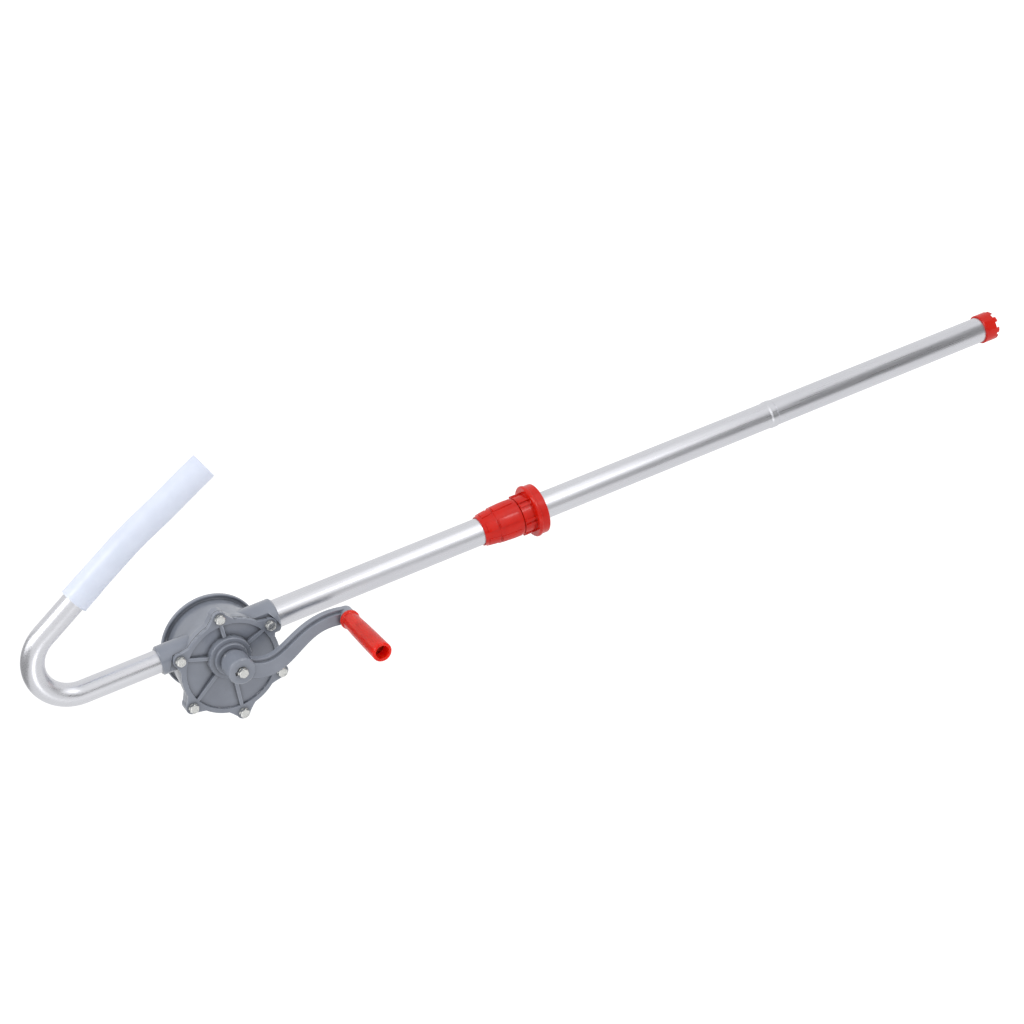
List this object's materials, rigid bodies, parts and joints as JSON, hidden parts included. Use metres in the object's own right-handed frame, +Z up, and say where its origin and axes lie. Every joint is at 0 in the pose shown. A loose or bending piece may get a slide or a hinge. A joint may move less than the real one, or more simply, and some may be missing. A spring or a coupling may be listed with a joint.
{
  "type": "drum barrel pump",
  "caption": "Hand-cranked rotary vane pump on a long suction tube, with a threaded drum adapter that clamps the tube, a curved spout and a short hose.",
  "frame": {"origin": "centre of the bung adapter's seat (underside of its flange), on the suction tube's axis", "axes": "+Z up the suction tube towards the pump, -Y towards the crank and grip, +X the side the spout bends over to"},
  "size_m": [0.3162, 0.2098, 1.2769],
  "materials": {
    "red_plastic": "glossy moulded polypropylene",
    "body_paint": "semi-gloss enamel over sand-cast metal",
    "tube_aluminium": "satin drawn tube",
    "bright_steel": "bright zinc plating",
    "rotor_alloy": "turned cast aluminium",
    "steel": "turned or ground steel",
    "bush_brass": "turned bronze",
    "rubber": "matt nitrile rubber",
    "gasket_fibre": "pressed fibre sheet",
    "nylon": "natural nylon",
    "vane_resin": "fabric-filled resin, ground",
    "hose_plastic": "milky translucent extruded hose"
  },
  "bodies": {
    "bung_adapter": {"bung_adapter": "red_plastic", "adapter_seal": "rubber"},
    "clamp_ring": {"collet": "nylon"},
    "lock_nut": {"lock_nut": "red_plastic"},
    "pump": {"upper_tube": "tube_aluminium", "lower_tube": "tube_aluminium", "foot_strainer": "red_plastic", "strainer_plate": "steel", "housing": "body_paint", "inlet_seal": "rubber", "outlet_seal": "rubber", "rear_bush": "bush_brass", "cover_gasket": "gasket_fibre", "cover": "body_paint", "front_bush": "bush_brass", "shaft_packing": "rubber", "gland_ring": "body_paint", "cover_screws": "bright_steel", "cover_washers": "bright_steel", "spout_tube": "tube_aluminium", "hose": "hose_plastic"},
    "crank": {"drive_shaft": "steel", "rotor": "rotor_alloy", "rotor_key": "steel", "vane_springs": "steel", "crank_arm": "body_paint", "crank_key": "steel", "crank_washer": "bright_steel", "crank_bolt": "bright_steel", "grip_spindle": "steel", "grip_retainer": "steel"},
    "upper_vane": {"upper_vane": "vane_resin"},
    "lower_vane": {"lower_vane": "vane_resin"},
    "grip": {"grip": "red_plastic", "grip_plug": "red_plastic"}
  },
  "joints": [
    {"name": "pump_height", "type": "slide", "parent": "bung_adapter", "child": "pump", "axis": [0, 0, 1], "range_m": [-0.25, 0.3]},
    {"name": "nut_lift", "type": "slide", "parent": "bung_adapter", "child": "clamp_ring", "axis": [0, 0, 1], "range_m": [0, 0.003]},
    {"name": "nut_turn", "type": "hinge", "parent": "clamp_ring", "child": "lock_nut", "pos_m": [0, 0, 0.043], "axis": [0, 0, 1], "range_deg": [0, 360]},
    {"name": "crank_turn", "type": "hinge", "parent": "pump", "child": "crank", "pos_m": [-0.016, 0, 0.3925], "axis": [0, 1, 0], "continuous": true},
    {"name": "grip_spin", "type": "hinge", "parent": "crank", "child": "grip", "pos_m": [-0.0045, -0.1, 0.2625], "axis": [0, 1, 0], "continuous": true},
    {"name": "upper_vane_slide", "type": "slide", "parent": "crank", "child": "upper_vane", "axis": [0, 0, 1], "range_m": [0, 0.0073]},
    {"name": "lower_vane_slide", "type": "slide", "parent": "crank", "child": "lower_vane", "axis": [0, 0, -1], "range_m": [0, 0.0073]}
  ],
  "couplings": [
    {"joint": "nut_lift", "follows": "nut_turn", "m_per_rad": 0.00047746}
  ]
}
